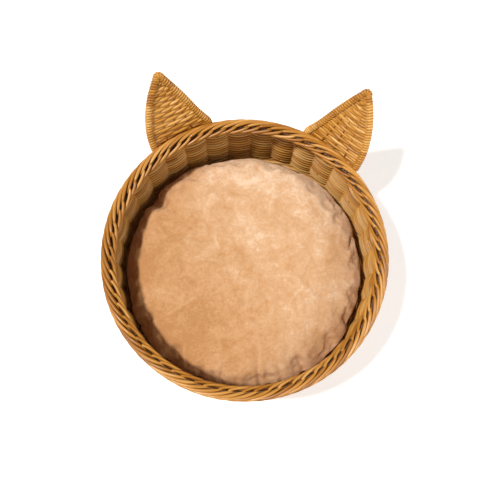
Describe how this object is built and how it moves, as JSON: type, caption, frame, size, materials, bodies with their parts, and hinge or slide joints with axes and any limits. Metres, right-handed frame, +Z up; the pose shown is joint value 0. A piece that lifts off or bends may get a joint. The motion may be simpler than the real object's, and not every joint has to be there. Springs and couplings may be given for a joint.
{
  "type": "wicker pet bed basket",
  "caption": "Low round woven basket bed for a small pet, with a rolled border, two pointed ears at the back and a loose plush cushion that lifts out.",
  "frame": {"origin": "centre of the flat underside of the base", "axes": "+Z up; +Y towards the ears at the back; +X to the right seen from the front"},
  "size_m": [0.398, 0.4234, 0.2167],
  "materials": {
    "wall_wicker": "round honey-brown resin cane, satin",
    "border_cane": "round honey resin cane, satin, lighter streaks",
    "ear_wicker": "round honey resin cane, satin",
    "stake_cane": "round brown resin cane, satin",
    "plush": "short-pile beige plush, mottled nap",
    "lining": "plain beige backing cloth",
    "fibre_fill": "loose white polyester fibre"
  },
  "bodies": {
    "basket": {"base_weave": "wall_wicker", "base_sticks_across": "stake_cane", "base_sticks_along": "stake_cane", "upsett_wale": "wall_wicker", "wall_weave": "wall_wicker", "stake_pair_01": "stake_cane", "stake_pair_02": "stake_cane", "stake_pair_03": "stake_cane", "stake_pair_04": "stake_cane", "stake_pair_05": "stake_cane", "stake_pair_06": "stake_cane", "stake_pair_07": "stake_cane", "stake_pair_08": "stake_cane", "stake_pair_09": "stake_cane", "stake_pair_10": "stake_cane", "stake_pair_11": "stake_cane", "stake_pair_12": "stake_cane", "stake_pair_13": "stake_cane", "stake_pair_14": "stake_cane", "stake_pair_15": "stake_cane", "stake_pair_16": "stake_cane", "stake_pair_17": "stake_cane", "stake_pair_18": "stake_cane", "stake_pair_19": "stake_cane", "stake_pair_20": "stake_cane", "stake_pair_21": "stake_cane", "stake_pair_22": "stake_cane", "stake_pair_23": "stake_cane", "stake_pair_24": "stake_cane", "stake_pair_25": "stake_cane", "stake_pair_26": "stake_cane", "stake_pair_27": "stake_cane", "stake_pair_28": "stake_cane", "stake_pair_29": "stake_cane", "stake_pair_30": "stake_cane", "stake_pair_31": "stake_cane", "stake_pair_32": "stake_cane", "stake_pair_33": "stake_cane", "stake_pair_34": "stake_cane", "stake_pair_35": "stake_cane", "border_outer_run": "border_cane", "border_inner_run": "border_cane", "ear_left_weave": "ear_wicker", "ear_left_frame": "stake_cane", "ear_left_stake_inner": "stake_cane", "ear_left_stake_middle": "stake_cane", "ear_left_stake_outer": "stake_cane", "ear_left_lashing_outer": "ear_wicker", "ear_left_lashing_inner": "ear_wicker", "ear_right_weave": "ear_wicker", "ear_right_frame": "stake_cane", "ear_right_stake_inner": "stake_cane", "ear_right_stake_middle": "stake_cane", "ear_right_stake_outer": "stake_cane", "ear_right_lashing_outer": "ear_wicker", "ear_right_lashing_inner": "ear_wicker"},
    "cushion": {"cushion_cover_top": "plush", "cushion_cover_bottom": "lining", "cushion_filling": "fibre_fill"}
  },
  "joints": [
    {"name": "cushion_lift", "type": "slide", "parent": "basket", "child": "cushion", "axis": [0, 0, 1], "range_m": [0, 0.25]}
  ]
}
